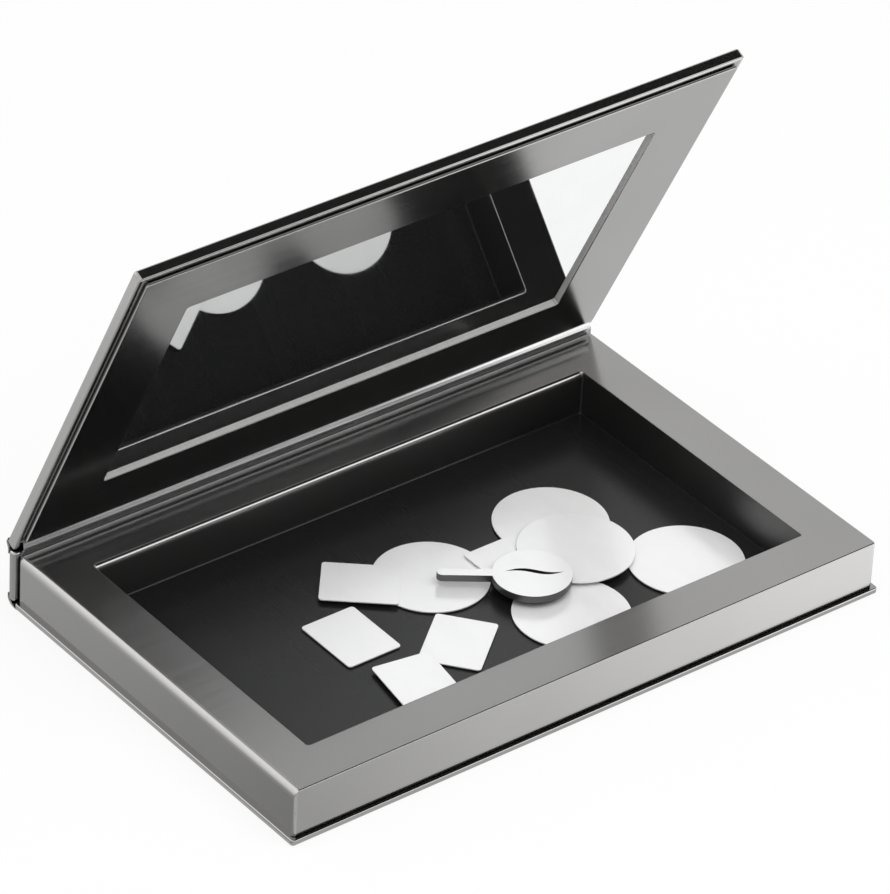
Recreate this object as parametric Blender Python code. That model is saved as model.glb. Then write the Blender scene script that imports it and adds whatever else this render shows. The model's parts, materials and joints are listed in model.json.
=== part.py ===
# Empty makeup palette: a shallow board tray in a hinged case with a mirror lid, and loose steel plates.
# Metres, +Z up, +X along the tray's length, -Y at the front. The origin is the centre of the base
# board's underside.
import math

import bmesh
import bpy
from mathutils import Vector

# Clearances
GAP = 0.0003  # between two pieces that touch
CLOSED_GAP = 0.0008  # between the closed lid's panel and the tray's top
SPINE_GAP = 0.0004  # between the tray's rear wall and the spine

# Case boards
BOARD = 0.0017  # thickness of the base board
SPINE = 0.0024  # thickness of the spine board
OVERHANG = 0.0011  # base board past the tray at the front and the sides
REAR_OVERHANG = 0.0001  # base board past the tray at the rear
BOARD_EDGE = 0.0004  # rounding of a foil covered board's edges
BOARD_CORNER = 0.0008  # rounding of a foil covered board's corners

# Tray
TRAY_LENGTH = 0.180
TRAY_DEPTH = 0.1139
TRAY_HEIGHT = 0.0135  # above the base board
RIM_SIDE = 0.0133
RIM_FRONT = 0.0130
RIM_REAR = 0.0137
CORE = 0.0012  # thickness of the tray's boards
WRAP = 0.0003  # thickness of the tray's foil paper
TRAY_EDGE = 0.0009  # rounding of the tray's top outer edge
TRAY_CORNER = 0.0009
WELL_EDGE = 0.0007  # rounding of the well's top edge
WELL_CORNER = 0.0012
SHEET = 0.0004  # thickness of the magnetic sheet

# Lid
LID = 0.0031  # thickness of the lid board
PANEL = 0.0007  # thickness of the frame panel
PANEL_INSET = 0.0020  # panel's edge inside the lid's, at the front and the sides
PANEL_REAR = 0.0039  # panel's edge inside the lid's, at the rear
PANEL_EDGE = 0.00025
WINDOW_FRONT = 0.02025  # window's edge behind the lid's front edge
WINDOW_LEFT = 0.0195  # window's edge inside the lid's left edge
WINDOW_RIGHT = 0.0208  # window's edge inside the lid's right edge
WINDOW_DEPTH = 0.0756
WINDOW_CORNER = 0.0012
MIRROR = 0.0008  # thickness of the mirror
MIRROR_LAP = 0.0020  # mirror's edge past the window's
TAPE = 0.0003  # thickness of the mirror tape
TAPE_WIDTH = 0.012
LID_REAR_INSET = 0.0001  # lid's rear edge inside the spine's outer face
LID_ANGLE = 64.66  # how far the lid stands open, in degrees

# Hinges
HINGE_SETBACK = 0.0012  # both hinge axes behind the spine's inner face
HINGE_DEPTH = 0.00145  # lid hinge axis inside the lid board, from its inner face
BASE_HINGE_RISE = 0.0002  # base hinge axis above the base board
SPINE_FOOT = 0.0001  # spine's lower end below the base board's top
HINGE_PAPER = 0.0003
LINER_INSET = 0.0010  # liner's ends inside the tray's sides
LINER_DROP = 0.0002  # liner's lower edge below the spine's top
LINER_BEND = 0.0010  # where the liner meets the lid, from the lid's rear edge
PAPER_INSET = 0.0002  # hinge papers' outer ends inside the spine's outer face

# Closure magnets
MAGNET_RADIUS = 0.0040
MAGNET = 0.0010
MAGNET_SETBACK = 0.0077  # magnet's centre behind the lid's front edge
MAGNET_INSET = 0.0321  # magnet's centre inside the lid's side edge

# Loose plates and tool
PLATE = 0.0004
ROUND_RADIUS = 0.0150
PLATE_WIDTH = 0.0160
PLATE_LENGTH = 0.0200
PLATE_CORNER = 0.0009
TOOL = 0.0020
HEAD_RADIUS = 0.0101
HANDLE_WIDTH = 0.0030
HANDLE_LENGTH = 0.0238  # from the head's centre to the handle's end
SLOT_LENGTH = 0.0142
SLOT_WIDTH = 0.0013
SLOT_WAVE = 0.0007  # how far the slot's middle line swings to each side
SLOT_SHIFT = 0.0007  # slot's centre off the head's centre, along and across the handle

# Round pieces
CORNER_STEPS = 4
EDGE_STEPS = 3
CIRCLE_STEPS = 56

# Levels and lines that follow from the sizes
base_length = TRAY_LENGTH + 2 * OVERHANG
base_depth = OVERHANG + TRAY_DEPTH + REAR_OVERHANG
case_front = -base_depth / 2
tray_front = case_front + OVERHANG
tray_rear = tray_front + TRAY_DEPTH
tray_side = TRAY_LENGTH / 2
tray_top = BOARD + TRAY_HEIGHT
well_front = tray_front + RIM_FRONT
well_rear = tray_rear - RIM_REAR
well_side = tray_side - RIM_SIDE
core_top = tray_top - WRAP - GAP
wall_top = core_top - CORE - GAP
floor_top = BOARD + GAP + SHEET
spine_inner = tray_rear + SPINE_GAP
spine_outer = spine_inner + SPINE
hinge_y = spine_inner + HINGE_SETBACK
panel_low = tray_top + CLOSED_GAP
lid_inner = panel_low + PANEL + GAP
lid_outer = lid_inner + LID
lid_hinge_z = lid_inner + HINGE_DEPTH
base_hinge_z = BOARD + BASE_HINGE_RISE
lid_side = base_length / 2
lid_front = case_front
lid_rear = spine_outer - LID_REAR_INSET
spine_low = BOARD - SPINE_FOOT
spine_high = lid_hinge_z - math.hypot(lid_rear - hinge_y, HINGE_DEPTH) - GAP
window_front = lid_front + WINDOW_FRONT
window_rear = window_front + WINDOW_DEPTH
window_left = WINDOW_LEFT - lid_side
window_right = lid_side - WINDOW_RIGHT
magnet_y = lid_front + MAGNET_SETBACK
magnet_x = lid_side - MAGNET_INSET
pocket_depth = GAP + TAPE + GAP + MIRROR


def clear_scene():
    for item in list(bpy.data.objects):
        bpy.data.objects.remove(item, do_unlink=True)


def material(name, colour, roughness, metallic):
    made = bpy.data.materials.new(name)
    made.use_nodes = True
    shader = made.node_tree.nodes["Principled BSDF"]
    shader.inputs["Base Color"].default_value = (*colour, 1)
    shader.inputs["Roughness"].default_value = roughness
    shader.inputs["Metallic"].default_value = metallic
    return made


# Outlines and solids

def rounded_rectangle(left, right, front, rear, z, radius=0.0):
    """A loop of points round a rectangle, the same count for every radius."""
    points = []
    middles = [(right - radius, rear - radius), (left + radius, rear - radius),
               (left + radius, front + radius), (right - radius, front + radius)]
    for quarter, (x, y) in enumerate(middles):
        for step in range(CORNER_STEPS + 1):
            angle = math.pi / 2 * (quarter + step / CORNER_STEPS)
            points.append(Vector((x + radius * math.cos(angle), y + radius * math.sin(angle), z)))
    return points


def solid(name, loops, finish, parent, ring=False):
    """One closed body through a run of loops, which is either capped or joined end to start."""
    mesh = bpy.data.meshes.new(name)
    work = bmesh.new()
    rows = [[work.verts.new(point) for point in loop] for loop in loops]
    pairs = list(zip(rows, rows[1:]))
    if ring:
        pairs.append((rows[-1], rows[0]))
    else:
        work.faces.new(rows[0])
        work.faces.new(rows[-1])
    for low, high in pairs:
        for i in range(len(low)):
            j = (i + 1) % len(low)
            work.faces.new((low[i], low[j], high[j], high[i]))
    bmesh.ops.remove_doubles(work, verts=work.verts, dist=1e-7)
    bmesh.ops.recalc_face_normals(work, faces=work.faces)
    work.to_mesh(mesh)
    work.free()
    return finished(name, mesh, finish, parent)


def finished(name, mesh, finish, parent):
    mesh.materials.append(finish)
    mesh.shade_smooth()
    mesh.set_sharp_from_angle(angle=math.radians(35))
    made = bpy.data.objects.new(name, mesh)
    bpy.context.collection.objects.link(made)
    if parent:
        mesh.transform(parent.matrix_world.inverted())
        made.parent = parent
    return made


def empty(name, y, z, parent=None):
    made = bpy.data.objects.new(name, None)
    made.location = (0, y, z)
    bpy.context.collection.objects.link(made)
    if parent:
        made.parent = parent
        made.location -= parent.location
    bpy.context.view_layer.update()
    return made


def edge_arc(radius, steps=EDGE_STEPS):
    """Pairs of inset and drop round a quarter of an edge, from the flat face to the side."""
    angles = [math.pi / 2 * step / steps for step in range(steps + 1)]
    return [(radius * (1 - math.sin(a)), radius * (1 - math.cos(a))) for a in angles]


def box_loops(box, low, high, corner, edge):
    """Loops up a board from its underside to its top, with rounded corners and edges."""
    left, right, front, rear = box
    levels = [(inset, low + drop) for inset, drop in edge_arc(edge)]
    levels += [(inset, high - drop) for inset, drop in reversed(edge_arc(edge))]
    loops = []
    for inset, z in levels:
        radius = max(corner - inset, 0)
        loops.append(rounded_rectangle(left + inset, right - inset, front + inset, rear - inset, z, radius))
    return loops


def board(name, box, low, high, finish, parent, corner=BOARD_CORNER, edge=BOARD_EDGE):
    return solid(name, box_loops(box, low, high, corner, edge), finish, parent)


def plain_board(name, box, low, high, finish, parent):
    loops = [rounded_rectangle(*box, z) for z in (low, high)]
    return solid(name, [loop[::CORNER_STEPS + 1] for loop in loops], finish, parent)


def prism(name, outline, low, high, finish, parent):
    loops = [[Vector((x, y, z)) for x, y in outline] for z in (low, high)]
    return solid(name, loops, finish, parent)


def cut(target, cutter):
    cutter.hide_render = True
    cutter.display_type = "WIRE"
    tool = target.modifiers.new("cut", "BOOLEAN")
    tool.operation = "DIFFERENCE"
    tool.object = cutter


def circle(x, y, radius):
    angles = [2 * math.pi * step / CIRCLE_STEPS for step in range(CIRCLE_STEPS)]
    return [(x + radius * math.cos(a), y + radius * math.sin(a)) for a in angles]


def strip(name, middle, thickness, half_length, finish, parent):
    """A sheet of paper along X whose section follows a middle line in Y and Z."""
    line = [Vector(point) for point in middle]
    near, far = [], []
    for i, point in enumerate(line):
        along = (line[min(i + 1, len(line) - 1)] - line[max(i - 1, 0)]).normalized()
        side = Vector((-along.y, along.x)) * thickness / 2
        near.append(point + side)
        far.append(point - side)
    section = near + far[::-1]
    loops = [[Vector((x, p.x, p.y)) for p in section] for x in (-half_length, half_length)]
    return solid(name, loops, finish, parent)


def smooth_line(points, steps=4):
    """A line through the points, rounded between them by Catmull and Rom's rule."""
    guide = [Vector(p) for p in points]
    guide = [2 * guide[0] - guide[1]] + guide + [2 * guide[-1] - guide[-2]]
    line = []
    for a, b, c, d in zip(guide, guide[1:], guide[2:], guide[3:]):
        for step in range(steps):
            t = step / steps
            line.append(0.5 * (2 * b + (c - a) * t + (2 * a - 5 * b + 4 * c - d) * t ** 2
                               + (3 * b - a - 3 * c + d) * t ** 3))
    line.append(guide[-2])
    return line


# Tray

def make_base(foil):
    box = (-base_length / 2, base_length / 2, case_front, case_front + base_depth)
    board("base_board", box, 0, BOARD, foil, None)


def make_walls(greyboard):
    """Outer walls and well walls: the front and rear ones run the full length between the side faces."""
    skin = WRAP + GAP
    low = BOARD + GAP
    outer = (tray_side - skin, tray_front + skin, tray_rear - skin)
    inner = (well_side + skin + CORE, well_front - skin - CORE, well_rear + skin + CORE)
    for kind, (side, front, rear) in (("tray_outer_wall", outer), ("tray_well_wall", inner)):
        plain_board(kind + "_front", (-side, side, front, front + CORE), low, wall_top, greyboard, None)
        plain_board(kind + "_rear", (-side, side, rear - CORE, rear), low, wall_top, greyboard, None)
        between = (front + CORE + GAP, rear - CORE - GAP)
        plain_board(kind + "_left", (-side, -side + CORE, *between), low, wall_top, greyboard, None)
        plain_board(kind + "_right", (side - CORE, side, *between), low, wall_top, greyboard, None)


def make_top_frame(greyboard):
    skin = WRAP + GAP
    side = tray_side - skin
    outer = (-side, side, tray_front + skin, tray_rear - skin)
    hole = (-well_side - skin, well_side + skin, well_front - skin, well_rear + skin)
    low = core_top - CORE
    loops = [rounded_rectangle(*box, z) for box, z in
             ((outer, low), (outer, core_top), (hole, core_top), (hole, low))]
    solid("tray_top_frame", [loop[::CORNER_STEPS + 1] for loop in loops], greyboard, None, ring=True)


def make_wrap(foil):
    """The tray's foil: down the outer walls, over the rim and down the well, open underneath."""
    low = BOARD + GAP

    def outside(inset, z):
        box = (-tray_side + inset, tray_side - inset, tray_front + inset, tray_rear - inset)
        return rounded_rectangle(*box, z, max(TRAY_CORNER - inset, WRAP))

    def inside(inset, z):
        box = (-well_side - inset, well_side + inset, well_front - inset, well_rear + inset)
        return rounded_rectangle(*box, z, WELL_CORNER + inset)

    loops = [outside(0, low)]
    loops += [outside(inset, tray_top - drop) for inset, drop in reversed(edge_arc(TRAY_EDGE))]
    loops += [inside(inset, tray_top - drop) for inset, drop in edge_arc(WELL_EDGE)]
    loops += [inside(0, low), inside(WRAP, low)]
    under_well = [(WRAP + inset, tray_top - WRAP - drop) for inset, drop in edge_arc(WELL_EDGE - WRAP)]
    loops += [inside(*level) for level in reversed(under_well)]
    under_rim = [(WRAP + inset, tray_top - WRAP - drop) for inset, drop in edge_arc(TRAY_EDGE - WRAP)]
    loops += [outside(*level) for level in under_rim]
    loops += [outside(WRAP, low)]
    solid("tray_wrap_paper", loops, foil, None, ring=True)


def make_sheet(rubber):
    box = (-well_side + GAP, well_side - GAP, well_front + GAP, well_rear - GAP)
    board("magnetic_sheet", box, BOARD + GAP, floor_top, rubber, None, corner=WELL_CORNER, edge=0)


def make_tray_magnets(steel):
    top = core_top - CORE - GAP
    for side, x in (("left", -magnet_x), ("right", magnet_x)):
        prism("tray_magnet_" + side, circle(x, magnet_y, MAGNET_RADIUS), top - MAGNET, top, steel, None)


# Spine and hinge papers

def make_spine(foil, spine_axis):
    box = (-lid_side, lid_side, spine_inner, spine_outer)
    board("spine_board", box, spine_low, spine_high, foil, spine_axis)


def opened(y, z):
    """Where a point of the closed lid lies when the lid stands open."""
    angle = math.radians(LID_ANGLE)
    dy, dz = y - hinge_y, z - lid_hinge_z
    return (hinge_y + dy * math.cos(angle) + dz * math.sin(angle),
            lid_hinge_z - dy * math.sin(angle) + dz * math.cos(angle))


def make_lid_hinge_paper(foil, spine_axis):
    """The outer paper joins the spine's top outer edge to the lid's rear face."""
    clear = GAP + HINGE_PAPER / 2
    foot = (spine_outer - PAPER_INSET, spine_high + clear)
    end = opened(lid_rear + clear, lid_outer - 2 * HINGE_PAPER)
    bulge = ((foot[0] + end[0] + HINGE_PAPER) / 2, (foot[1] + end[1]) / 2)
    line = smooth_line([foot, bulge, end])
    strip("lid_hinge_paper", line, HINGE_PAPER, lid_side, foil, spine_axis)


def make_base_hinge_paper(foil):
    """The outer paper leaves the base board's underside and climbs to the spine's lower outer edge."""
    clear = GAP + HINGE_PAPER / 2
    start = (case_front + base_depth + clear, HINGE_PAPER / 2)
    end = (spine_outer - PAPER_INSET, spine_low - clear)
    bend = (start[0] + 2 * HINGE_PAPER, HINGE_PAPER)
    line = smooth_line([start, bend, end])
    strip("base_hinge_paper", line, HINGE_PAPER, lid_side, foil, None)


def make_liner(paper, spine_axis):
    """The inner paper climbs from the spine's top and follows the lid's inner face to the panel."""
    clear = GAP + HINGE_PAPER / 2
    under = lid_inner - clear
    foot = (spine_inner - clear, spine_high - LINER_DROP)
    bend = opened(lid_rear - LINER_BEND, under)
    end = opened(lid_rear - PANEL_REAR + clear, under)
    line = smooth_line([foot, bend, end])
    strip("hinge_liner", line, HINGE_PAPER, tray_side - LINER_INSET, paper, spine_axis)


# Lid, modelled closed and turned open by its axis

def around_window(lap):
    return (window_left - lap, window_right + lap, window_front - lap, window_rear + lap)


def make_lid_board(foil, lid_axis):
    box = (-lid_side, lid_side, lid_front, lid_rear)
    pocket = around_window(MIRROR_LAP + GAP)
    loops = box_loops(box, lid_inner, lid_outer, BOARD_CORNER, BOARD_EDGE)[::-1]
    loops += [rounded_rectangle(*pocket, z, WINDOW_CORNER) for z in (lid_inner, lid_inner + pocket_depth)]
    lid = solid("lid_board", loops, foil, lid_axis)
    for side, x in (("left", -magnet_x), ("right", magnet_x)):
        hole = circle(x, magnet_y, MAGNET_RADIUS + GAP)
        depth = MAGNET + 2 * GAP
        cut(lid, prism("magnet_hole_" + side, hole, lid_inner - GAP, lid_inner + depth, foil, lid_axis))


def make_lid_magnets(steel, lid_axis):
    low = lid_inner + GAP
    for side, x in (("left", -magnet_x), ("right", magnet_x)):
        prism("lid_magnet_" + side, circle(x, magnet_y, MAGNET_RADIUS), low, low + MAGNET, steel, lid_axis)


def make_mirror(glass, foam, lid_axis):
    box = around_window(MIRROR_LAP)
    board("mirror_sheet", box, lid_inner, lid_inner + MIRROR, glass, lid_axis, corner=WINDOW_CORNER, edge=0)
    low = lid_inner + MIRROR + GAP
    for name, left in (("left", window_left), ("right", window_right - TAPE_WIDTH)):
        tape = (left, left + TAPE_WIDTH, window_front, window_rear)
        plain_board("mirror_tape_" + name, tape, low, low + TAPE, foam, lid_axis)


def make_panel(foil, lid_axis):
    """The frame panel: rounded outer edges and a window with crisp edges."""
    side = lid_side - PANEL_INSET
    outer = (-side, side, lid_front + PANEL_INSET, lid_rear - PANEL_REAR)
    window = around_window(0)
    high = panel_low + PANEL
    loops = box_loops(outer, panel_low, high, BOARD_CORNER, PANEL_EDGE)
    loops += [rounded_rectangle(*window, z, WINDOW_CORNER) for z in (high, panel_low)]
    solid("lid_frame_panel", loops, foil, lid_axis, ring=True)


# Loose plates and tool

def place(made, right, front, level, turn=0.0):
    """Sets a loose piece down, its place counted in round plate radii from the well's right and front walls."""
    made.location = (well_side - right * ROUND_RADIUS, well_front + front * ROUND_RADIUS, level_height(level))
    made.rotation_euler.z = math.radians(turn)


def level_height(level):
    """Underside of a piece that lies on the sheet (level 0) or on plates below it."""
    return floor_top + GAP + level * (PLATE + GAP)


def make_plates(steel):
    rounds = {
        "round_plate_a": (5.127, 3.380, 0),
        "round_plate_b": (2.480, 3.513, 0),
        "round_plate_c": (2.687, 2.587, 2),
        "round_plate_d": (1.300, 1.367, 0),
        "round_plate_e": (3.820, 1.273, 0),
    }
    for name, spot in rounds.items():
        place(prism(name, circle(0, 0, ROUND_RADIUS), 0, PLATE, steel, None), *spot)
    squares = {
        "square_plate_a": (6.247, 3.847, 1, 50.0),
        "square_plate_b": (7.233, 2.787, 0, 0.0),
        "square_plate_c": (5.867, 1.687, 0, -51.0),
        "square_plate_d": (7.100, 1.133, 1, -9.0),
        "square_plate_e": (3.807, 2.860, 1, 0.0),
    }
    half_width, half_length = PLATE_WIDTH / 2, PLATE_LENGTH / 2
    box = (-half_width, half_width, -half_length, half_length)
    for name, spot in squares.items():
        place(board(name, box, 0, PLATE, steel, None, corner=PLATE_CORNER, edge=0), *spot)


def tool_outline():
    """The round head, and the handle with its round end along -X."""
    half = HANDLE_WIDTH / 2
    neck = math.pi - math.asin(half / HEAD_RADIUS)
    head_angles = [-neck + 2 * neck * step / CIRCLE_STEPS for step in range(CIRCLE_STEPS + 1)]
    outline = [(HEAD_RADIUS * math.cos(a), HEAD_RADIUS * math.sin(a)) for a in head_angles]
    end_steps = 2 * CORNER_STEPS
    for step in range(end_steps + 1):
        angle = math.pi / 2 + math.pi * step / end_steps
        outline.append((-HANDLE_LENGTH + half + half * math.cos(angle), half * math.sin(angle)))
    return outline


def slot_outline():
    """A slot with pointed ends whose middle line is one wave long."""
    steps = 12
    upper, lower = [], []
    for step in range(steps + 1):
        share = step / steps
        x = SLOT_SHIFT + SLOT_LENGTH * (share - 0.5)
        middle = SLOT_SHIFT + SLOT_WAVE * math.sin(2 * math.pi * share)
        half = SLOT_WIDTH / 2 * math.sin(math.pi * share)
        upper.append((x, middle + half))
        lower.append((x, middle - half))
    return lower + upper[-2:0:-1]


def make_tool(steel):
    tool = prism("depotting_tool", tool_outline(), 0, TOOL, steel, None)
    slot = prism("tool_slot_cutter", slot_outline(), -GAP, TOOL + GAP, steel, None)
    cut(tool, slot)
    for item in (tool, slot):
        place(item, 3.887, 2.260, 3, -35.5)


def main():
    clear_scene()
    foil = material("gunmetal_foil", (0.36, 0.36, 0.36), 0.30, 0.9)
    greyboard = material("greyboard", (0.33, 0.31, 0.28), 0.85, 0.0)
    rubber = material("magnetic_sheet", (0.022, 0.022, 0.023), 0.45, 0.0)
    glass = material("mirror", (0.85, 0.86, 0.87), 0.02, 1.0)
    foam = material("mirror_tape", (0.80, 0.80, 0.78), 0.8, 0.0)
    magnet = material("magnet", (0.55, 0.55, 0.56), 0.3, 1.0)
    liner = material("hinge_liner", (0.62, 0.62, 0.61), 0.45, 0.3)
    plates = material("plate_steel", (0.82, 0.82, 0.82), 0.22, 0.9)

    spine_axis = empty("spine_axis", hinge_y, base_hinge_z)
    lid_axis = empty("lid_axis", hinge_y, lid_hinge_z, spine_axis)

    make_base(foil)
    make_walls(greyboard)
    make_top_frame(greyboard)
    make_wrap(foil)
    make_sheet(rubber)
    make_tray_magnets(magnet)
    make_spine(foil, spine_axis)
    make_lid_hinge_paper(foil, spine_axis)
    make_base_hinge_paper(foil)
    make_liner(liner, spine_axis)
    make_lid_board(foil, lid_axis)
    make_lid_magnets(magnet, lid_axis)
    make_mirror(glass, foam, lid_axis)
    make_panel(foil, lid_axis)
    make_plates(plates)
    make_tool(plates)
    lid_axis.rotation_euler.x = -math.radians(LID_ANGLE)


main()
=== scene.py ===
# Empty makeup palette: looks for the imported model, with the photograph's camera and a plain pale studio.
import json
import math

import bmesh
import bpy
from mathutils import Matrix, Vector


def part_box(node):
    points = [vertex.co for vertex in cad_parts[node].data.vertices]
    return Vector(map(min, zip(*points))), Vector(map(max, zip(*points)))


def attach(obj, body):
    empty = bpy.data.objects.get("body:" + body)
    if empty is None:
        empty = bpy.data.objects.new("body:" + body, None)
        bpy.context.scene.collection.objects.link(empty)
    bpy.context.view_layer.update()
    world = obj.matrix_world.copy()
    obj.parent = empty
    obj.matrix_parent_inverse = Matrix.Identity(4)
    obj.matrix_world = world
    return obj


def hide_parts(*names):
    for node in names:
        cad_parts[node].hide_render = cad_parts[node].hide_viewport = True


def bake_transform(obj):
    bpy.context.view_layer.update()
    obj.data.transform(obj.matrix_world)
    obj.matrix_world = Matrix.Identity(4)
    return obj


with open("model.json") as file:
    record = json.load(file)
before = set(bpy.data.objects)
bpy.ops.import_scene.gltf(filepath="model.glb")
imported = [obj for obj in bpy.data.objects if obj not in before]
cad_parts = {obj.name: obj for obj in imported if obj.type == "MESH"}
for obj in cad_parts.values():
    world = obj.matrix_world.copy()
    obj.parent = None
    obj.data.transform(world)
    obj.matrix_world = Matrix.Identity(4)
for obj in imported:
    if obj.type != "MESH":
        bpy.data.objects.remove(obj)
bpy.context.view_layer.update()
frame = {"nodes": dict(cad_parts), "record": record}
nodes = frame["nodes"]

# Camera
CAMERA_PLACE = (-0.81183, -0.98021, 0.92012)
CAMERA_TURN = (55.48049, -2.62853, -37.68705)
LENS = 254.76

# Lid: its hinge axis in Y and Z, how far it stands open in degrees, and its sizes as if it were closed.
# An edge is the width and height of its rounding, a box is left, right, front and rear, and a highlight is
# how strong the painted highlight on the foil is there, from 0 to 1.
LID_AXIS = (0.05905, 0.01845)
LID_ANGLE = 64.66
LID_SIDE = 0.0911
LID_FRONT = -0.05755
LID_REAR = 0.06015
LID_INNER = 0.0170
LID_OUTER = 0.0201
LID_CORNER = 0.0010
LID_INNER_EDGE = (0.0016, 0.0005)
LID_OUTER_EDGE = (0.0006, 0.0006)
LID_SIDE_HIGHLIGHT = 0.6
PANEL_LOW = 0.0160
PANEL_INSET = 0.0020
PANEL_REAR_INSET = 0.0039
PANEL_CORNER = 0.0008
PANEL_EDGE = (0.0004, 0.00035)
PANEL_FOOT = 0.0003
PANEL_FOOT_INSET = 0.0006
PANEL_SIDE_INSET = 0.0001
PANEL_SIDE_HIGHLIGHT = 0.2
WINDOW = (-0.0716, 0.0703, -0.0373, 0.0383)
WINDOW_EDGE = 0.0002
WINDOW_HIGHLIGHT = 0.3
POCKET_MARGIN = 0.0023
POCKET_DEPTH = 0.0017
POCKET_CORNER = 0.0012

# Base and spine boards
BOARD_CORNER = 0.0009
SMALLEST_CORNER = 0.0002
BASE_LOWER_EDGE = (0.0005, 0.0005)
BASE_UPPER_EDGE = (0.0003, 0.0004)
SPINE_EDGE = (0.0007, 0.0007)

# Papers over the hinges: their thickness and how far they stay inside the spine's ends
PAPER = 0.00022
COVER_INSET = 0.0001

# Tray: widths for the left, right, front and rear, and drops for the right, rear, left and front
RIM = (0.0133, 0.0133, 0.0130, 0.0137)
TRAY_FOIL = 0.0003
TRAY_CORNER = 0.0010
TRAY_EDGE = 0.0010
TRAY_EDGES = (0.0018, 0.0005, 0.0003, 0.0008)
TRAY_DROPS = (0.0006, 0.0008, 0.0025, 0.00035)
WELL_CORNER = 0.0004
WELL_EDGE = 0.0010
WELL_EDGES = (0.0004, 0.0002, 0.0004, 0.0010)
WELL_DROPS = (0.0002, 0.0020, 0.0004, 0.0004)
FOOT_GROOVE = (0.0, 0.0002, 0.0004, 0.0)
GROOVE_HEIGHT = 0.00025
# How strong the painted highlight is on the tray's upright corners
CORNER_HIGHLIGHT = 0.8
SHEET_TURN = 0.0004
SHEET_CORNER = 0.0003
SHEET_SIDE_DROP = 0.0001

# Loose pieces: the widths of their broken edges
PLATE_EDGE = 0.00008
TOOL_EDGE = 0.00012

# Meshes: steps round an edge and round a corner, the angles in degrees up to which faces are taken as one
# flat face and from which an edge is shaded sharp or broken, and how near points or faces count as the same
EDGE_STEPS = 6
CORNER_STEPS = 8
FLAT_ANGLE = 1
SHARP_ANGLE = 40
BROKEN_ANGLE = 60
SAME_POINT = 1e-6
CUT_REACH = 0.00001

# The range that most of a noise's values lie in
NOISE_LOW = 0.3
NOISE_HIGH = 0.7

# Foil: its level, what multiplies it as painted highlight on rounded edges and as painted shade in the well,
# its roughness and the roughness that the well adds
FOIL_LEVEL = 0.32
FOIL_EDGE_HIGHLIGHT = 1.45
FOIL_WELL_SHADE = 0.45
FOIL_ROUGHNESS = 0.17
WELL_ROUGHNESS = 0.25

# Studio
FLOOR_SIZE = (8, 8)
FLOOR_LEVEL = -0.0001
FLOOR_WHITE = 0.86
WORLD_LEVEL = 0.45


# Materials

class Shader:
    """A node material under construction, with textures in its piece's own coordinates."""

    def __init__(self, name):
        self.material = bpy.data.materials.new(name)
        self.material.use_nodes = True
        self.tree = self.material.node_tree
        self.main = self.tree.nodes["Principled BSDF"]
        self.place = None

    def node(self, kind, **settings):
        """A new node with its settings given by name."""
        made = self.tree.nodes.new(kind)
        for key, value in settings.items():
            setattr(made, key, value)
        return made

    def link(self, a, b):
        """Joins an output to an input."""
        self.tree.links.new(a, b)

    def coordinates(self, scale=(1, 1, 1)):
        """The piece's own coordinates, scaled along each axis."""
        if self.place is None:
            self.place = self.node("ShaderNodeTexCoord")
        mapped = self.node("ShaderNodeMapping")
        mapped.inputs["Scale"].default_value = scale
        self.link(self.place.outputs["Object"], mapped.inputs["Vector"])
        return mapped.outputs["Vector"]

    def noise(self, scale, detail, stretch=(1, 1, 1), roughness=0.5):
        """A noise of a scale, drawn out along an axis where its stretch is under 1."""
        made = self.node("ShaderNodeTexNoise")
        made.inputs["Scale"].default_value = scale
        made.inputs["Detail"].default_value = detail
        made.inputs["Roughness"].default_value = roughness
        self.link(self.coordinates(stretch), made.inputs["Vector"])
        return made.outputs["Fac"]

    def spread(self, value, low, high):
        """A number that goes from low to high over a noise's usual range."""
        made = self.node("ShaderNodeMapRange")
        made.inputs["From Min"].default_value = NOISE_LOW
        made.inputs["From Max"].default_value = NOISE_HIGH
        made.inputs["To Min"].default_value = low
        made.inputs["To Max"].default_value = high
        self.link(value, made.inputs["Value"])
        return made.outputs["Result"]

    def blend(self, value, low, high):
        """A colour that goes from low to high over a noise's usual range."""
        made = self.node("ShaderNodeValToRGB")
        first, last = made.color_ramp.elements
        first.position, first.color = NOISE_LOW, (*low, 1)
        last.position, last.color = NOISE_HIGH, (*high, 1)
        self.link(value, made.inputs["Fac"])
        return made.outputs["Color"]

    def bump(self, heights):
        """Bumps in a chain, each a pair of a value and its height in metres."""
        last = None
        for value, height in heights:
            made = self.node("ShaderNodeBump")
            made.inputs["Strength"].default_value = 1.0
            made.inputs["Distance"].default_value = height
            self.link(value, made.inputs["Height"])
            if last:
                self.link(last, made.inputs["Normal"])
            last = made.outputs["Normal"]
        self.link(last, self.main.inputs["Normal"])

    def set(self, **values):
        """Plain values for the main shader's inputs."""
        for key, value in values.items():
            self.main.inputs[key.replace("_", " ")].default_value = value


def grey(level, warm=0.0):
    """A grey of a level, a little warmer by the share given."""
    return (level * (1 + warm), level, level * (1 - warm))


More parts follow.
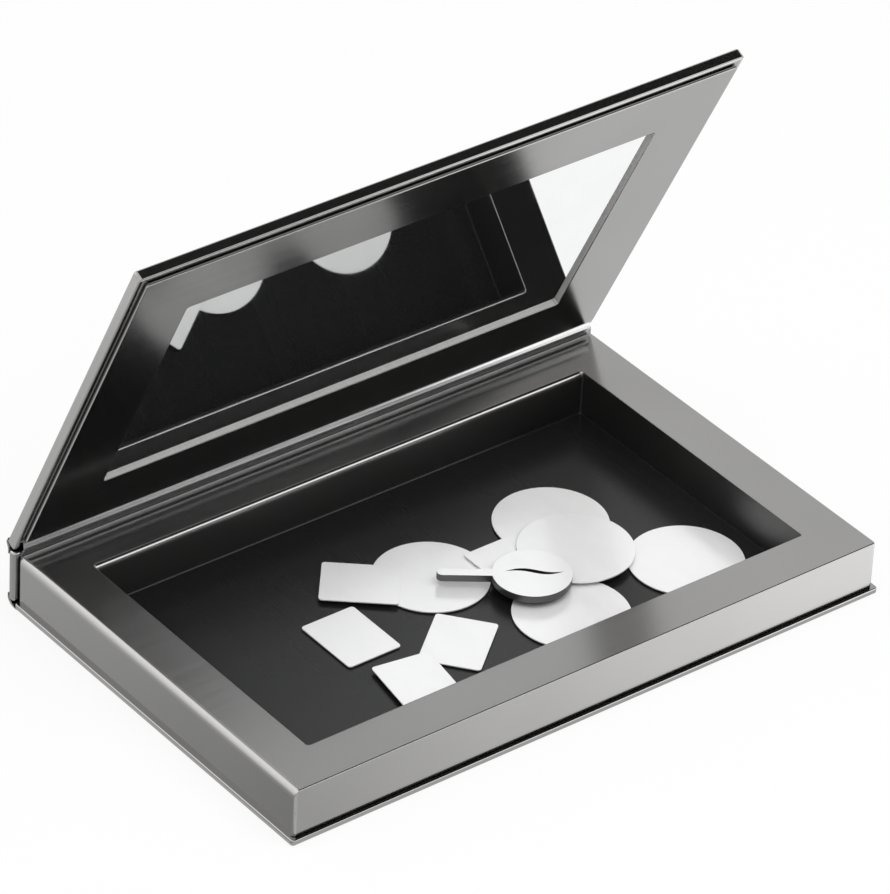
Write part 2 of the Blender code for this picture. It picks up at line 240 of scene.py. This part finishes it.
def foil_material(name, level, roughness):
    """Satin gunmetal foil paper with fine drawn lines and faint clouds, painted paler on rounded edges as
    highlight, and painted darker in the well as shade, where it is also rougher.
    """
    shader = Shader(name)
    shader.set(Metallic=1.0, Roughness=roughness)
    lines = shader.noise(700, 2.0, (0.02, 1, 1))
    cloud = shader.noise(22, 2.0)
    tone = shader.blend(cloud, grey(level * 0.96, 0.01), grey(level * 1.04, 0.01))
    # The "edge" attribute says where the foil is painted paler as highlight
    edge = shader.node("ShaderNodeAttribute", attribute_name="edge")
    mix = shader.node("ShaderNodeMix", data_type="RGBA")
    mix.inputs[7].default_value = (*grey(level * FOIL_EDGE_HIGHLIGHT, 0.01), 1)
    shader.link(edge.outputs["Fac"], mix.inputs[0])
    shader.link(tone, mix.inputs[6])
    # The "well" attribute says where the foil is painted darker as shade, and made rougher
    well = shader.node("ShaderNodeAttribute", attribute_name="well")
    well_shade = shader.node("ShaderNodeMix", data_type="RGBA")
    well_shade.inputs[7].default_value = (*grey(level * FOIL_WELL_SHADE, 0.01), 1)
    shader.link(well.outputs["Fac"], well_shade.inputs[0])
    shader.link(mix.outputs[2], well_shade.inputs[6])
    shader.link(well_shade.outputs[2], shader.main.inputs["Base Color"])
    dull = shader.node("ShaderNodeMath", operation="MULTIPLY_ADD")
    dull.inputs[1].default_value = WELL_ROUGHNESS
    shader.link(well.outputs["Fac"], dull.inputs[0])
    shader.link(shader.spread(lines, roughness * 0.93, roughness * 1.07), dull.inputs[2])
    shader.link(dull.outputs[0], shader.main.inputs["Roughness"])
    waves = shader.noise(30, 0.0)
    grain = shader.noise(2600, 1.0)
    shader.bump([(waves, 0.00002), (lines, 0.0000002), (grain, 0.0000001)])
    return shader.material


def board_material(name, dark, pale, height):
    """Grey paper board with fine fibres of a height."""
    shader = Shader(name)
    shader.set(Roughness=0.85)
    fibres = shader.noise(1800, 4.0, (0.4, 1, 1))
    shader.link(shader.blend(fibres, dark, pale), shader.main.inputs["Base Color"])
    shader.bump([(fibres, height)])
    return shader.material


def sheet_material():
    """Black magnetic sheet with a smooth satin skin and faint rolling lines."""
    shader = Shader("magnetic_sheet_skin")
    shader.set(Roughness=0.26, Specular_IOR_Level=0.4)
    rolled = shader.noise(260, 2.0, (1, 0.05, 1))
    specks = shader.noise(5200, 1.0)
    shader.link(shader.blend(specks, grey(0.009), grey(0.014)), shader.main.inputs["Base Color"])
    shader.link(shader.spread(rolled, 0.25, 0.28), shader.main.inputs["Roughness"])
    shader.bump([(shader.noise(25, 0.0), 0.00002), (specks, 0.0000004)])
    return shader.material


def mirror_material():
    """Silvered mirror with a faint haze."""
    shader = Shader("mirror_silver")
    shader.set(Metallic=1.0, Roughness=0.015)
    haze = shader.noise(60, 4.0)
    tint = shader.blend(haze, (0.91, 0.92, 0.92), (0.94, 0.95, 0.95))
    shader.link(tint, shader.main.inputs["Base Color"])
    shader.link(shader.spread(haze, 0.012, 0.035), shader.main.inputs["Roughness"])
    return shader.material


def steel_material(name, level, roughness, metallic):
    """Bright thin steel with faint rolling lines and small scuffs."""
    shader = Shader(name)
    shader.set(Metallic=metallic, Roughness=roughness)
    lines = shader.noise(1300, 2.0, (0.03, 1, 1))
    scuffs = shader.noise(140, 5.0, (1, 0.35, 1), 0.65)
    tint = shader.blend(scuffs, grey(level * 0.97), grey(min(level * 1.02, 1)))
    shader.link(tint, shader.main.inputs["Base Color"])
    shader.link(shader.spread(scuffs, roughness * 0.8, roughness * 1.3), shader.main.inputs["Roughness"])
    shader.bump([(shader.noise(60, 0.0), 0.00002), (lines, 0.0000006)])
    return shader.material


def magnet_material():
    """Nickel plating with a faint cloudiness."""
    shader = Shader("nickel_plating")
    shader.set(Metallic=1.0)
    cloud = shader.noise(300, 2.0)
    shader.link(shader.blend(cloud, grey(0.50), grey(0.60)), shader.main.inputs["Base Color"])
    shader.link(shader.spread(cloud, 0.22, 0.34), shader.main.inputs["Roughness"])
    return shader.material


def tape_material():
    """White foam with small open cells."""
    shader = Shader("foam_tape")
    shader.set(Roughness=0.9)
    cells = shader.noise(2600, 2.0)
    shader.link(shader.blend(cells, grey(0.72), grey(0.84)), shader.main.inputs["Base Color"])
    shader.bump([(cells, 0.00004)])
    return shader.material


def liner_material():
    """Pale satin lining paper."""
    shader = Shader("lining_paper")
    shader.set(Metallic=0.95, Roughness=0.25)
    lines = shader.noise(900, 2.0, (0.05, 1, 1))
    shader.link(shader.blend(lines, grey(0.58), grey(0.66)), shader.main.inputs["Base Color"])
    shader.bump([(shader.noise(60, 1.0, (0.2, 1, 1)), 0.000003), (lines, 0.0000001)])
    return shader.material


foil = foil_material("gunmetal_foil_satin", FOIL_LEVEL, FOIL_ROUGHNESS)
greyboard = board_material("greyboard_core", (0.25, 0.235, 0.21), (0.40, 0.38, 0.34), 0.00003)
looks = {
    "gunmetal_foil": foil,
    "foil_paper": foil,
    "hinge_liner": liner_material(),
    "greyboard": greyboard,
    "magnetic_sheet": sheet_material(),
    "mirror": mirror_material(),
    "mirror_tape": tape_material(),
    "magnet": magnet_material(),
    "plate_steel": steel_material("plate_steel_bright", 0.95, 0.20, 0.25),
}
# The window's cut faces: board paler than the core greyboard, a painted highlight along the window's cut
cut_board_highlight = board_material("cut_board_painted_highlight", (0.47, 0.46, 0.45), (0.53, 0.52, 0.51), 0.000006)
# The tool's sides: dark steel as painted shade, for the dark that they mirror
tool_side_shade = steel_material("tool_side_painted_shade", 0.12, 0.35, 0.9)
for part in frame["record"]["subparts"]:
    item = nodes[part["node"]]
    for slot in item.material_slots:
        slot.material = looks[part["material_slot"]]


# Pieces

def new_piece(name, work, look):
    """The piece from a finished bmesh, with its look."""
    mesh = bpy.data.meshes.new(name)
    bmesh.ops.recalc_face_normals(work, faces=work.faces)
    work.to_mesh(mesh)
    work.free()
    mesh.materials.append(looks[look])
    mesh.shade_smooth()
    mesh.set_sharp_from_angle(angle=math.radians(SHARP_ANGLE))
    made = bpy.data.objects.new(name, mesh)
    bpy.context.scene.collection.objects.link(made)
    flat_normals(made)
    return made


def flat_normals(item):
    """Normals weighted by area, so that a flat face next to a rounded edge mirrors as a flat face."""
    weighted = item.modifiers.new("weighted", "WEIGHTED_NORMAL")
    weighted.keep_sharp = True
    weighted.weight = 100
    seen = item.evaluated_get(bpy.context.evaluated_depsgraph_get())
    rough = item.data
    item.data = bpy.data.meshes.new_from_object(seen)
    item.modifiers.clear()
    bpy.data.meshes.remove(rough)
    item.data.name = item.name


def rounded_line(points, steps=8):
    """A smooth line through the points."""
    guide = [Vector(p) for p in points]
    guide = [2 * guide[0] - guide[1]] + guide + [2 * guide[-1] - guide[-2]]
    line = []
    for a, b, c, d in zip(guide, guide[1:], guide[2:], guide[3:]):
        for step in range(steps):
            t = step / steps
            line.append(0.5 * (2 * b + (c - a) * t + (2 * a - 5 * b + 4 * c - d) * t ** 2
                               + (3 * b - a - 3 * c + d) * t ** 3))
    line.append(guide[-2])
    return line


def fold_section(points, swell, thickness=PAPER):
    """The outline in Y and Z of a sheet along a line, thicker by swell on the inner side of its bend."""
    line = rounded_line(points)
    near, far = [], []
    for i, point in enumerate(line):
        run = (line[min(i + 1, len(line) - 1)] - line[max(i - 1, 0)]).normalized()
        side = Vector((-run.y, run.x)) * thickness / 2
        inner = side.normalized() * swell * math.sin(math.pi * i / (len(line) - 1)) ** 2
        near.append(point + side + inner)
        far.append(point - side)
    return near + far[::-1]


def paper_fold(name, points, left, right, look, swell=0.0, left_points=None, along=24):
    """A sheet of paper along X with its section's points, which can change evenly from its left end."""
    section = fold_section(points, swell)
    left_section = fold_section(left_points or points, swell)
    work = bmesh.new()
    rows = []
    for step in range(along + 1):
        x = left + (right - left) * step / along
        here = [a.lerp(b, step / along) for a, b in zip(left_section, section)]
        rows.append([work.verts.new((x, p.x, p.y)) for p in here])
    for low, high in zip(rows, rows[1:]):
        for i in range(len(section)):
            j = (i + 1) % len(section)
            work.faces.new((low[i], low[j], high[j], high[i]))
    last = len(section) - 1
    for row in (rows[0], rows[-1]):
        for i in range(len(section) // 2 - 1):
            work.faces.new((row[i], row[i + 1], row[last - i - 1], row[last - i]))
    return new_piece(name, work, look)


def opened(y, z):
    """Where a point of the closed lid lies in Y and Z when the lid stands open."""
    angle = math.radians(LID_ANGLE)
    dy, dz = y - LID_AXIS[0], z - LID_AXIS[1]
    return (LID_AXIS[0] + dy * math.cos(angle) + dz * math.sin(angle),
            LID_AXIS[1] - dy * math.sin(angle) + dz * math.cos(angle))


# Foil covered boards and the tray's foil, with wrapped edges

def corner_loop(box, z, radius):
    """Points round a box at a height, with rounded corners, from the right and rear corner."""
    left, right, front, rear = box
    points = []
    middles = [(right - radius, rear - radius), (left + radius, rear - radius),
               (left + radius, front + radius), (right - radius, front + radius)]
    for corner, (x, y) in enumerate(middles):
        for step in range(CORNER_STEPS + 1):
            angle = math.pi / 2 * (corner + step / CORNER_STEPS)
            points.append((x + radius * math.cos(angle), y + radius * math.sin(angle), z))
    return points


def shrunk(box, inset):
    """The box moved in by the same inset on every side."""
    return (box[0] + inset, box[1] - inset, box[2] + inset, box[3] - inset)


def lowered(points, drops):
    """A loop lowered by each side's own drop, written for right, rear, left and front."""
    made = []
    for i, (x, y, z) in enumerate(points):
        corner, step = divmod(i, CORNER_STEPS + 1)
        share = math.sin(math.pi / 2 * step / CORNER_STEPS) ** 2
        made.append((x, y, z - drops[corner] * (1 - share) - drops[(corner + 1) % 4] * share))
    return made


def shrunk_by(box, insets):
    """The box moved in by an inset for the left, right, front and rear."""
    left, right, front, rear = insets
    return (box[0] + left, box[1] - right, box[2] + front, box[3] - rear)


def quarter(width, height, steps=EDGE_STEPS):
    """Inset, drop and painted highlight strength round an edge, from the flat face to the side."""
    rows = []
    for step in range(steps + 1):
        angle = math.pi / 2 * step / steps
        rows.append((width * (1 - math.sin(angle)), height * (1 - math.cos(angle)), math.sin(2 * angle)))
    return rows


def lofted(name, rows, look, ring=False, turned=False):
    """One closed body through rows of points.

    Each row has its painted highlight strength, or its painted highlight strengths for edges and upright
    corners and its painted shade strength for the well.
    """
    work = bmesh.new()
    # Painted highlight goes in the "edge" attribute and painted shade in the "well" attribute
    highlight_layer = work.verts.layers.float.new("edge")
    well_shade_layer = work.verts.layers.float.new("well")
    loops = []
    for points, strength in rows:
        loop = []
        flat, upright, well_shade = strength if isinstance(strength, tuple) else (strength, 0.0, 0.0)
        for i, point in enumerate(points):
            bend = math.sin(math.pi * (i % (CORNER_STEPS + 1)) / CORNER_STEPS)
            place = Vector(point)
            if turned:
                place = Vector((place.x, *opened(place.y, place.z)))
            vert = work.verts.new(place)
            vert[highlight_layer] = max(flat, upright * bend)
            vert[well_shade_layer] = well_shade
            loop.append(vert)
        loops.append(loop)
    pairs = list(zip(loops, loops[1:]))
    if ring:
        pairs.append((loops[-1], loops[0]))
    else:
        work.faces.new(loops[0])
        work.faces.new(loops[-1])
    for low, high in pairs:
        for i in range(len(low)):
            j = (i + 1) % len(low)
            work.faces.new((low[i], low[j], high[j], high[i]))
    bmesh.ops.remove_doubles(work, verts=work.verts, dist=1e-7)
    return new_piece(name, work, look)


def board_rows(box, low, high, corner, under, over, side=0.0):
    """Rows up a board with its lower and upper wrapped edges, and the strength of painted highlight on its
    side.
    """
    rows = []
    for inset, drop, strength in quarter(*under):
        points = corner_loop(shrunk(box, inset), low + drop, max(corner - inset, SMALLEST_CORNER))
        rows.append((points, strength))
    rows[-1] = (rows[-1][0], side)
    for inset, drop, strength in reversed(quarter(*over)):
        points = corner_loop(shrunk(box, inset), high - drop, max(corner - inset, SMALLEST_CORNER))
        rows.append((points, strength))
    rows[EDGE_STEPS + 1] = (rows[EDGE_STEPS + 1][0], side)
    return rows


def box_of(node):
    """A node's box from above, and its lower and upper ends."""
    low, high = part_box(node)
    return (low.x, high.x, low.y, high.y), low.z, high.z


def make_base_and_spine():
    """The two outer boards that stand as they are packed."""
    rows = board_rows(*box_of("base_board"), BOARD_CORNER, BASE_LOWER_EDGE, BASE_UPPER_EDGE)
    base = lofted("base_board_foil", rows, "gunmetal_foil")
    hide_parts("base_board")
    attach(base, "base")
    rows = board_rows(*box_of("spine_board"), BOARD_CORNER, SPINE_EDGE, SPINE_EDGE)
    spine = lofted("spine_board_foil", rows, "gunmetal_foil")
    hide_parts("spine_board")
    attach(spine, "spine")


def make_tray_foil():
    """The foil over the tray, from the base board up over the rim, down the well and back inside, with
    painted highlight on its rim edges and upright corners and painted shade down the well.
    """
    box, _, high = box_of("tray_wrap_paper")
    well = shrunk_by(box, RIM)
    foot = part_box("base_board")[1].z
    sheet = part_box("magnetic_sheet")[1].z
    groove = shrunk_by(box, FOOT_GROOVE)
    rows = [(corner_loop(groove, foot, TRAY_CORNER), 0.0),
            (corner_loop(groove, foot + GROOVE_HEIGHT, TRAY_CORNER), 0.0),
            (corner_loop(box, foot + GROOVE_HEIGHT, TRAY_CORNER), (0.0, CORNER_HIGHLIGHT, 0.0))]
    for inset, drop, strength in reversed(quarter(1, 1)):
        inner_box = shrunk_by(box, [inset * width for width in TRAY_EDGES])
        points = corner_loop(inner_box, high, max(TRAY_CORNER - inset * TRAY_EDGE, TRAY_FOIL))
        points = lowered(points, [drop * height for height in TRAY_DROPS])
        rows.append((points, (strength, CORNER_HIGHLIGHT * (1 - inset), 0.0)))
    for inset, drop, strength in quarter(1, 1):
        outer_box = shrunk_by(well, [-inset * width for width in WELL_EDGES])
        points = corner_loop(outer_box, high, WELL_CORNER + inset * WELL_EDGE)
        points = lowered(points, [drop * height for height in WELL_DROPS])
        rows.append((points, (strength, 0.0, max(drop - inset, 0))))
    rows.append((corner_loop(well, sheet, WELL_CORNER), (0.0, 0.0, 1.0)))
    behind = shrunk(well, -TRAY_FOIL)
    inside = shrunk(box, TRAY_FOIL)
    for outline, level, corner in (
            (behind, sheet, WELL_CORNER),
            (behind, high - WELL_EDGE - TRAY_FOIL, WELL_CORNER),
            (shrunk(well, -WELL_EDGE - TRAY_FOIL), high - TRAY_FOIL, WELL_CORNER),
            (shrunk(box, TRAY_EDGE + TRAY_FOIL), high - TRAY_FOIL, TRAY_FOIL),
            (inside, high - TRAY_EDGE - TRAY_FOIL, TRAY_CORNER - TRAY_FOIL),
            (inside, foot, TRAY_CORNER - TRAY_FOIL)):
        rows.append((corner_loop(outline, level, corner), 0.0))
    foil_wrap = lofted("tray_foil", rows, "gunmetal_foil", ring=True)
    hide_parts("tray_wrap_paper")
    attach(foil_wrap, "base")


def make_sheet():
    """The magnetic sheet, its edge pressed up against the well's walls."""
    box, low, high = box_of("magnetic_sheet")
    well = shrunk_by(box_of("tray_wrap_paper")[0], RIM)
    rows = [(corner_loop(box, low, SHEET_CORNER), 0.0),
            (corner_loop(box, high - SHEET_SIDE_DROP, SHEET_CORNER), 0.0)]
    for lift, inset, _ in quarter(SHEET_TURN, SHEET_TURN):
        rows.append((corner_loop(shrunk(well, inset), high + lift, WELL_CORNER), 0.0))
    sheet = lofted("magnetic_sheet_skin", rows, "magnetic_sheet")
    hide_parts("magnetic_sheet")
    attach(sheet, "base")


def is_window_cut(x, y, z):
    """Whether a face's middle lies on the window's cut, at one of its sides or at its front or rear."""
    left, right, front, rear = WINDOW
    if min(abs(x - left), abs(x - right)) < CUT_REACH:
        return True
    depth = (PANEL_LOW + WINDOW_EDGE + LID_INNER) / 2
    middles = [opened(edge, depth) for edge in (front, rear)]
    return any(math.hypot(y - cut_y, z - cut_z) < 2 * CUT_REACH for cut_y, cut_z in middles)


def make_lid():
    """The lid board and the frame panel, written closed and turned open."""
    outline = (-LID_SIDE, LID_SIDE, LID_FRONT, LID_REAR)
    pocket = shrunk(WINDOW, -POCKET_MARGIN)
    rows = [(corner_loop(pocket, LID_INNER + POCKET_DEPTH, POCKET_CORNER), 0.0),
            (corner_loop(pocket, LID_INNER, POCKET_CORNER), 0.0)]
    rows += board_rows(outline, LID_INNER, LID_OUTER, LID_CORNER,
                       LID_INNER_EDGE, LID_OUTER_EDGE, LID_SIDE_HIGHLIGHT)
    board = lofted("lid_board_foil", rows, "gunmetal_foil", turned=True)
    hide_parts("lid_board")
    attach(board, "lid")
    outer = shrunk_by(outline, (PANEL_INSET, PANEL_INSET, PANEL_INSET, PANEL_REAR_INSET))
    foot = shrunk(outer, PANEL_FOOT_INSET)
    side = shrunk(outer, PANEL_SIDE_INSET)
    # The panel's side, upper edge and window edge carry painted highlight
    rows = [(corner_loop(foot, LID_INNER, PANEL_CORNER), 0.0),
            (corner_loop(foot, LID_INNER - PANEL_FOOT, PANEL_CORNER), 0.0),
            (corner_loop(side, LID_INNER - PANEL_FOOT, PANEL_CORNER), PANEL_SIDE_HIGHLIGHT)]
    for inset, drop, strength in reversed(quarter(*PANEL_EDGE)):
        rows.append((corner_loop(shrunk(outer, inset), PANEL_LOW + drop, PANEL_CORNER), strength))
    for inset, drop, strength in quarter(WINDOW_EDGE, WINDOW_EDGE):
        rows.append((corner_loop(shrunk(WINDOW, -inset), PANEL_LOW + drop, PANEL_CORNER + inset), strength))
    rows.append((corner_loop(WINDOW, LID_INNER, PANEL_CORNER), WINDOW_HIGHLIGHT))
    panel = lofted("lid_panel_foil", rows, "gunmetal_foil", ring=True, turned=True)
    panel.data.materials.append(cut_board_highlight)
    for face in panel.data.polygons:
        if is_window_cut(*face.center):
            face.material_index = 1
    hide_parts("lid_frame_panel")
    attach(panel, "lid")


make_base_and_spine()
make_tray_foil()
make_sheet()
make_lid()


# Loose plates and the tool, with broken edges

def softened(node, name, body, width, side_shade_look=None):
    """A copy of a node with its upper and lower edges broken, riding on its body, with a dark look on its
    sides as painted shade when one is given.
    """
    work = bmesh.new()
    work.from_mesh(nodes[node].data)
    bmesh.ops.remove_doubles(work, verts=work.verts, dist=SAME_POINT)
    bmesh.ops.dissolve_limit(work, angle_limit=math.radians(FLAT_ANGLE), verts=work.verts, edges=work.edges)
    sharp = [edge for edge in work.edges
             if len(edge.link_faces) == 2 and edge.calc_face_angle() > math.radians(BROKEN_ANGLE)
             and abs(edge.verts[0].co.z - edge.verts[1].co.z) < SAME_POINT]
    bmesh.ops.bevel(work, geom=sharp, offset=width, segments=2, profile=0.6, affect="EDGES")
    made = new_piece(name, work, "plate_steel")
    if side_shade_look:
        made.data.materials.append(side_shade_look)
        for face in made.data.polygons:
            if face.normal.z < 0.5:
                face.material_index = 1
    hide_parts(node)
    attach(made, body)


bodies = frame["record"]["behaviour"]["bodies"]
body_of = {node: body for body, members in bodies.items() for node in members}
for kind in ("round", "square"):
    for letter in "abcde":
        node = f"{kind}_plate_{letter}"
        softened(node, node + "_steel", body_of[node], PLATE_EDGE)
softened("depotting_tool", "depotting_tool_steel", "tool", TOOL_EDGE, tool_side_shade)


# The case's outer paper over the two hinges and the pale liner inside the upper one

def make_hinges():
    """The papers that bend between two bodies, each as it lies when the lid stands open.

    Their points in Y and Z are chosen from the ends of the boards that they join.
    """
    spine_low, spine_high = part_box("spine_board")
    board_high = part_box("base_board")[1]
    left, right = spine_low.x + COVER_INSET, spine_high.x - COVER_INSET
    upper = paper_fold("lid_hinge_cover", [
        (spine_high.y + PAPER / 2, spine_high.z - 0.0013),
        (spine_high.y + PAPER / 2, spine_high.z - 0.0006),
        (spine_high.y + PAPER / 2 + 0.00006, spine_high.z + 0.0001),
        (spine_high.y + 0.00036, spine_high.z + 0.0008),
        (spine_high.y + 0.00066, spine_high.z + 0.0014),
        opened(LID_REAR - 0.00005, LID_OUTER + PAPER / 2),
        opened(LID_REAR - 0.0007, LID_OUTER + PAPER / 2),
        opened(LID_REAR - 0.0014, LID_OUTER + PAPER / 2),
    ], left, right, "gunmetal_foil", swell=0.0005)
    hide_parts("lid_hinge_paper")
    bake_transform(upper)
    lower = paper_fold("base_hinge_cover", [
        (board_high.y - 0.0008, PAPER / 2 + 0.00002),
        (board_high.y, PAPER / 2 + 0.00002),
        (board_high.y + 0.0008, PAPER / 2 + 0.00010),
        (board_high.y + 0.0016, 0.00045),
        (spine_high.y - 0.0003, 0.00105),
        (spine_high.y + 0.00005, 0.0017),
        (spine_high.y + PAPER / 2, spine_low.z + 0.0008),
        (spine_high.y + PAPER / 2, spine_low.z + 0.0016),
    ], left, right, "gunmetal_foil", swell=0.0006)
    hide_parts("base_hinge_paper")
    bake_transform(lower)
    liner_low, liner_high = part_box("hinge_liner")
    foot = [(spine_low.y - 0.00025, spine_high.z - 0.0030),
            (spine_low.y - 0.00025, spine_high.z - 0.0019),
            (spine_low.y - 0.00025, spine_high.z - 0.0008)]
    right_end = foot + [(spine_low.y - 0.0008, spine_high.z + 0.0003),
                        (spine_low.y - 0.0014, spine_high.z + 0.0010),
                        (spine_low.y - 0.0012, spine_high.z + 0.0018),
                        opened(0.0577, 0.0168), opened(0.0569, 0.0168), opened(0.0562, 0.0168)]
    left_end = foot + [(spine_low.y - 0.0008, spine_high.z + 0.0003),
                       (spine_low.y - 0.00135, spine_high.z + 0.0010),
                       (spine_low.y - 0.00125, spine_high.z + 0.0022),
                       opened(0.0571, 0.0168), opened(0.0567, 0.0168), opened(0.0562, 0.0168)]
    liner = paper_fold("inner_hinge_liner", right_end, liner_low.x, liner_high.x,
                       "hinge_liner", left_points=left_end)
    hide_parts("hinge_liner")
    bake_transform(liner)


make_hinges()


# Studio

def show_white(tree, strength=1.0):
    """A factor that is the strength for camera, glossy and transmission rays, and 0 for the others."""
    path = tree.nodes.new("ShaderNodeLightPath")
    total = path.outputs["Is Camera Ray"]
    for name in ("Is Glossy Ray", "Is Transmission Ray"):
        add = tree.nodes.new("ShaderNodeMath")
        add.operation = "MAXIMUM"
        tree.links.new(total, add.inputs[0])
        tree.links.new(path.outputs[name], add.inputs[1])
        total = add.outputs[0]
    scaled = tree.nodes.new("ShaderNodeMath")
    scaled.operation = "MULTIPLY"
    scaled.inputs[1].default_value = strength
    tree.links.new(total, scaled.inputs[0])
    return scaled.outputs[0]


def plane(name, centre, size, turn=(0, 0, 0)):
    """A flat piece of the studio, turned by degrees."""
    mesh = bpy.data.meshes.new(name)
    x, y = size[0] / 2, size[1] / 2
    mesh.from_pydata([(-x, -y, 0), (x, -y, 0), (x, y, 0), (-x, y, 0)], [], [(0, 1, 2, 3)])
    made = bpy.data.objects.new(name, mesh)
    made.location = centre
    made.rotation_euler = [math.radians(a) for a in turn]
    bpy.context.scene.collection.objects.link(made)
    return made


def bare_material(item, name):
    """A new material for a studio piece, as its tree and the output, which is the only node in it."""
    surface = bpy.data.materials.new(name)
    surface.use_nodes = True
    tree = surface.node_tree
    tree.nodes.clear()
    item.data.materials.append(surface)
    return tree, tree.nodes.new("ShaderNodeOutputMaterial")


def show_in_reflections_alone(item):
    """Hides a studio piece from the camera and takes its shadow and its light on matt surfaces away."""
    item.visible_camera = False
    item.visible_shadow = False
    item.visible_diffuse = False


def make_floor():
    """White when seen directly or in reflections, with a faint shadow, and plain pale for other rays."""
    tree, out = bare_material(plane("floor", (0, 0, FLOOR_LEVEL), FLOOR_SIZE), "pale_floor")
    diffuse = tree.nodes.new("ShaderNodeBsdfDiffuse")
    diffuse.inputs["Color"].default_value = (0.9, 0.9, 0.9, 1)
    glow = tree.nodes.new("ShaderNodeEmission")
    glow.inputs["Color"].default_value = (1, 1, 1, 1)
    mix = tree.nodes.new("ShaderNodeMixShader")
    tree.links.new(show_white(tree, FLOOR_WHITE), mix.inputs["Fac"])
    tree.links.new(diffuse.outputs[0], mix.inputs[1])
    tree.links.new(glow.outputs[0], mix.inputs[2])
    tree.links.new(mix.outputs[0], out.inputs["Surface"])


def make_card(name, centre, size, turn, level):
    """A dark card that the foil mirrors and the camera doesn't see."""
    card = plane(name, centre, size, turn)
    surface = bpy.data.materials.new(name)
    surface.use_nodes = True
    shader = surface.node_tree.nodes["Principled BSDF"]
    shader.inputs["Base Color"].default_value = (level, level, level, 1)
    shader.inputs["Roughness"].default_value = 1.0
    card.data.materials.append(surface)
    show_in_reflections_alone(card)


def make_glow(name, centre, size, turn, axis, span, levels):
    """A strip on the floor beside the case, seen in reflections alone, whose level changes along an axis."""
    strip = plane(name, centre, size, (0, 0, turn))
    show_in_reflections_alone(strip)
    tree, out = bare_material(strip, name)
    glow = tree.nodes.new("ShaderNodeEmission")
    place = tree.nodes.new("ShaderNodeTexCoord")
    split = tree.nodes.new("ShaderNodeSeparateXYZ")
    level = tree.nodes.new("ShaderNodeMapRange")
    for key, value in zip(("From Min", "From Max", "To Min", "To Max"), (*span, *levels)):
        level.inputs[key].default_value = value
    tree.links.new(place.outputs["Object"], split.inputs[0])
    tree.links.new(split.outputs[axis], level.inputs["Value"])
    tree.links.new(level.outputs["Result"], glow.inputs["Strength"])
    tree.links.new(glow.outputs[0], out.inputs["Surface"])


def lamp(name, place, aim, size, power, glossy=True):
    """An area lamp that the camera doesn't see."""
    data = bpy.data.lights.new(name, "AREA")
    data.shape = "RECTANGLE"
    data.size, data.size_y = size
    data.energy = power
    made = bpy.data.objects.new(name, data)
    made.location = place
    made.rotation_euler = (Vector(aim) - Vector(place)).to_track_quat("-Z", "Y").to_euler()
    made.visible_glossy = glossy
    made.visible_camera = False
    bpy.context.scene.collection.objects.link(made)


def make_world():
    """White for the camera and for reflections, and a plain level of light."""
    world = bpy.data.worlds.new("studio")
    world.use_nodes = True
    tree = world.node_tree
    back = tree.nodes["Background"]
    back.inputs["Color"].default_value = (1, 1, 1, 1)
    level = tree.nodes.new("ShaderNodeMapRange")
    level.inputs["To Min"].default_value = WORLD_LEVEL
    level.inputs["To Max"].default_value = 1.0
    tree.links.new(show_white(tree), level.inputs["Value"])
    tree.links.new(level.outputs["Result"], back.inputs["Strength"])
    bpy.context.scene.world = world


def make_camera():
    """The camera that the photograph was fitted with."""
    data = bpy.data.cameras.new("camera")
    data.lens = LENS
    data.sensor_width = 36
    data.clip_start = 0.05
    data.clip_end = 50
    made = bpy.data.objects.new("camera", data)
    made.location = CAMERA_PLACE
    made.rotation_euler = [math.radians(a) for a in CAMERA_TURN]
    bpy.context.scene.collection.objects.link(made)
    bpy.context.scene.camera = made


make_floor()
make_card("overhead_card", centre=(0.80, -0.05, 1.25), size=(1.4, 1.5), turn=(0, 0, 0), level=0.02)
make_card("front_card", centre=(1.0, -1.25, 1.28), size=(2.8, 1.2), turn=(90, 0, 38.5), level=0.06)
make_glow("front_glow", centre=(0.06, -0.0845, 0.0002), size=(0.36, 0.051), turn=0,
          axis="X", span=(-0.14, 0.05), levels=(0.9, 2.1))
make_glow("left_glow", centre=(-0.142, 0.0, 0.0002), size=(0.1, 0.3), turn=0,
          axis="Y", span=(-0.06, 0.10), levels=(0.45, 0.85))
make_glow("front_shade", centre=(0.0645, -0.455, 0.0001), size=(0.435, 0.62), turn=24.8,
          axis="X", span=(0.1155, 0.2175), levels=(0.1, 1.0))
lamp("top_softbox", place=(0.1, -0.4, 1.15), aim=(0, 0, 0), size=(1.4, 1.4), power=12.9, glossy=False)
lamp("rear_left_softbox", place=(-0.75, 0.88, 0.85), aim=(0, 0, 0.02), size=(1.5, 1.3), power=3.0)
lamp("front_right_softbox", place=(0.62, -0.95, 0.22), aim=(0, 0, 0.02), size=(1.0, 0.34), power=1.0)
make_world()
make_camera()
bpy.context.scene.view_settings.view_transform = "Standard"
